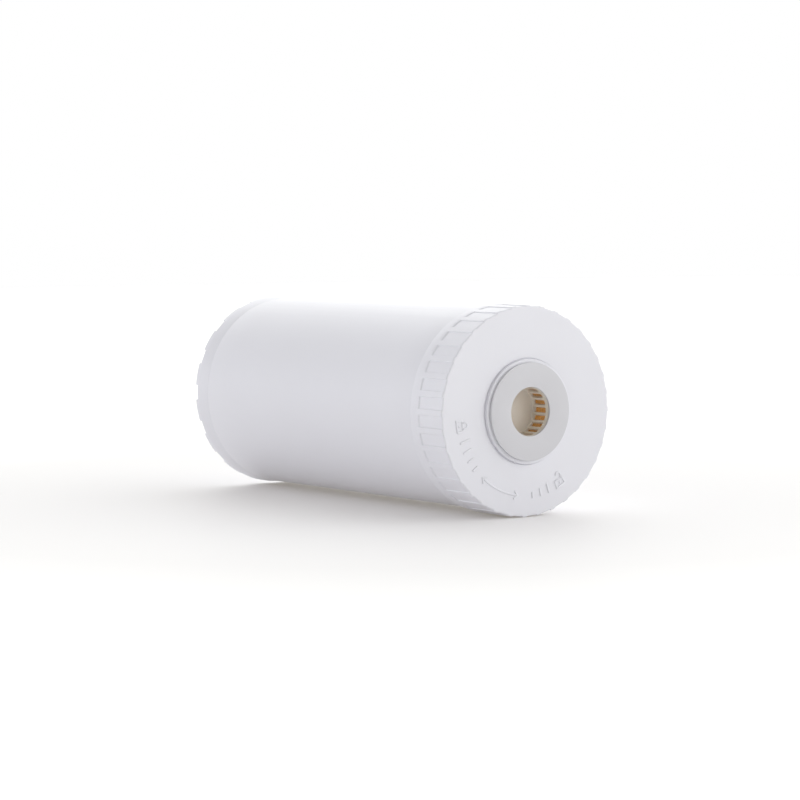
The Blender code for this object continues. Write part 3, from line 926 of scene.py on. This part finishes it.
def mesh_cloth():
    """Fine wires, stained by the beads behind them."""
    paint = Paint("mesh_cloth", (0.46, 0.33, 0.17), 0.45)
    paint.colour(paint.noise(900.0), ((0.35, (0.38, 0.26, 0.12)), (0.65, (0.56, 0.42, 0.24))))
    paint.roughness(paint.noise(1500.0), 0.38, 0.55)
    paint.bump(((paint.noise(5000.0, detail=2.0), 0.00002, 0.3),))
    return paint.material


def open_foam():
    """Open-cell foam, with painted shade dark in its pores."""
    paint = Paint("foam", (0.70, 0.69, 0.66), 0.92)
    cells = paint.cells(900.0)
    # Painted shade: the colour is darkest in the middle of each cell, where the pores are.
    paint.colour(cells, ((0.05, (0.34, 0.33, 0.31)), (0.45, (0.66, 0.65, 0.62)),
                         (0.8, (0.76, 0.75, 0.72))))
    paint.roughness(paint.noise(300.0), 0.86, 0.97)
    paint.bump(((cells, 0.0006, 0.8), (paint.noise(2000.0), 0.0002, 0.4)))
    return paint.material


def bead_resin():
    """Glossy ion-exchange beads, each a little lighter or darker than the next, with a painted amber glow
    for light through the bed.
    """
    paint = Paint("amber_beads", (0.52, 0.30, 0.09), 0.25)
    paint.colour(paint.noise(1100.0, detail=1.0), ((0.32, (0.38, 0.19, 0.045)), (0.5, (0.54, 0.32, 0.09)),
                                            (0.68, (0.66, 0.46, 0.18))))
    # Painted glow: the beads emit amber light, though they are no lamp.
    paint.shader.inputs["Emission Color"].default_value = (0.62, 0.30, 0.065, 1.0)
    paint.shader.inputs["Emission Strength"].default_value = 0.85
    paint.roughness(paint.noise(1500.0), 0.18, 0.34)
    paint.bump(((paint.noise(4000.0, detail=2.0), 0.00002, 0.2),))
    return paint.material


def packed_resin():
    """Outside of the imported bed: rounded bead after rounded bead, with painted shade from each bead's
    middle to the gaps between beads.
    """
    paint = Paint("amber_resin", (0.40, 0.23, 0.07), 0.30)
    cells = paint.cells(1050.0)
    # Painted shade: light in each bead's middle, darker toward its edge and near black in the gaps between
    # beads.
    paint.colour(cells, ((0.05, (0.52, 0.33, 0.11)), (0.45, (0.36, 0.20, 0.05)),
                         (0.8, (0.12, 0.06, 0.02))))
    paint.roughness(paint.noise(1200.0), 0.20, 0.40)
    cells_down = paint.nodes.new("ShaderNodeMath")
    cells_down.operation = 'MULTIPLY'
    cells_down.inputs[1].default_value = -1.0
    paint.links.new(cells, cells_down.inputs[0])
    paint.bump(((cells_down.outputs["Value"], 0.0008, 0.9),))
    return paint.material


# ---------------------------------------------------------------- stage

# Soft light by direction: (direction it comes from, how narrow, strength in red, green and blue)
SKY_LOBES = (
    ((0.0, 0.0, 1.0), 2.0, (0.21, 0.20, 0.24)),
    ((0.0, -1.0, 0.0), 2.0, (0.59, 0.60, 0.63)),
    ((0.58, 0.81, 0.0), 2.0, (2.31, 2.34, 2.35)),
    ((-0.81, 0.58, 0.0), 2.0, (1.03, 1.02, 0.98)),
    ((-0.60, 0.43, 0.67), 4.0, (1.42, 1.45, 1.42)),
    ((0.50, -0.35, 0.80), 4.0, (0.28, 0.27, 0.20)),
    ((-0.58, -0.81, 0.0), 8.0, (2.17, 2.21, 2.30)),
)


def operation(tree, kind, name, value, second=None):
    """A math node of that kind and operation on a value, with its second input where it takes one."""
    node = tree.nodes.new(kind)
    node.operation = name
    tree.links.new(value, node.inputs[0])
    if second is not None:
        node.inputs[1].default_value = second
    return node


def lobe_colour(tree, direction, axis, power, strength):
    """Colour that one lobe gives in a direction."""
    facing = operation(tree, "ShaderNodeVectorMath", 'DOT_PRODUCT', direction, Vector(axis).normalized())
    lifted = operation(tree, "ShaderNodeMath", 'MAXIMUM', facing.outputs["Value"], 0.0)
    narrowed = operation(tree, "ShaderNodeMath", 'POWER', lifted.outputs["Value"], power)
    lobe = tree.nodes.new("ShaderNodeVectorMath")
    lobe.operation = 'SCALE'
    lobe.inputs[0].default_value = strength
    tree.links.new(narrowed.outputs["Value"], lobe.inputs["Scale"])
    return lobe.outputs["Vector"]


def tent_colour(tree):
    """Sum of all the lobes."""
    direction = tree.nodes.new("ShaderNodeTexCoord").outputs["Generated"]
    total = lobe_colour(tree, direction, *SKY_LOBES[0])
    for lobe in SKY_LOBES[1:]:
        added = operation(tree, "ShaderNodeVectorMath", 'ADD', lobe_colour(tree, direction, *lobe))
        tree.links.new(total, added.inputs[1])
        total = added.outputs["Vector"]
    return total


def build_sky():
    """White to the camera; to everything else a soft tent of broad lobes."""
    world = bpy.data.worlds.new("studio")
    bpy.context.scene.world = world
    world.use_nodes = True
    tree = world.node_tree
    tree.nodes.clear()
    tent = tree.nodes.new("ShaderNodeBackground")
    tree.links.new(tent_colour(tree), tent.inputs["Color"])
    white = tree.nodes.new("ShaderNodeBackground")
    white.inputs["Color"].default_value = (1.0, 1.0, 1.0, 1.0)
    seen = tree.nodes.new("ShaderNodeMixShader")
    camera_ray = tree.nodes.new("ShaderNodeLightPath").outputs["Is Camera Ray"]
    tree.links.new(camera_ray, seen.inputs["Fac"])
    tree.links.new(tent.outputs["Background"], seen.inputs[1])
    tree.links.new(white.outputs["Background"], seen.inputs[2])
    surface = tree.nodes.new("ShaderNodeOutputWorld").inputs["Surface"]
    tree.links.new(seen.outputs["Shader"], surface)


def build_floor():
    """Plain pale table, with painted shade: a shade greyer round the cartridge than farther off, where its
    shadow falls.
    """
    mesh = bpy.data.meshes.new("floor")
    half = FLOOR_SIZE / 2
    corners = [(-half, -half, 0), (half, -half, 0), (half, half, 0), (-half, half, 0)]
    mesh.from_pydata(corners, [], [(0, 1, 2, 3)])
    paint = Paint("floor_white", FLOOR_PAINTED_SHADE[0][1], 0.60)
    paint.shader.inputs["Emission Color"].default_value = (*FLOOR_GLOW, 1.0)
    paint.shader.inputs["Emission Strength"].default_value = 1.0
    paint.shader.inputs["Specular IOR Level"].default_value = 0.2
    distance = paint.nodes.new("ShaderNodeVectorMath")
    distance.operation = 'LENGTH'
    paint.links.new(paint.place, distance.inputs[0])
    # Painted shade: the floor's colour darkens toward the cartridge.
    paint.colour(distance.outputs["Value"], FLOOR_PAINTED_SHADE)
    mesh.materials.append(paint.material)
    add_object("floor", mesh)


def build_camera():
    """Long lens, looking at the cartridge from its front and side, a little from above."""
    data = bpy.data.cameras.new("camera")
    data.lens = LENS
    data.sensor_width = SENSOR_WIDTH
    data.clip_end = CLIP_END
    camera = add_object("camera", data)
    camera.location = CAMERA_PLACE
    view = Vector(CAMERA_TARGET) - Vector(CAMERA_PLACE)
    camera.rotation_euler = view.to_track_quat('-Z', 'Y').to_euler()
    bpy.context.scene.camera = camera


# ---------------------------------------------------------------- scene

white_cap = cap_plastic()
white_tube = tube_plastic()
cream_plastic = cup_plastic()
light_rubber = grey_rubber()
dark_rubber = black_rubber()
sleeve_cloth = mesh_cloth()
pad_foam = open_foam()
resin = packed_resin()
beads = bead_resin()

build_tube("tube", "canister", white_tube)
build_bed("bed", "canister", resin)
build_beads("beads", "canister", beads)

build_cap("front_cap", "front_cap", white_cap)
build_marks("front_cap_marks", "front_cap", white_cap)
build_gasket("front_gasket", "front_cap", light_rubber)
build_strainer("front_strainer", "front_cap", cream_plastic)
build_sleeve("front_mesh_sleeve", "front_cap", sleeve_cloth)
build_o_ring("front_o_ring", "front_seal", dark_rubber)
build_pad("front_foam_pad", FRONT, FRONT_PAD, "canister", pad_foam)

build_base("rear_base", "canister", white_cap)
build_pad("rear_foam_pad", REAR, REAR_PAD, "canister", pad_foam)

build_floor()
build_sky()
build_camera()
bpy.context.scene.view_settings.view_transform = 'Standard'
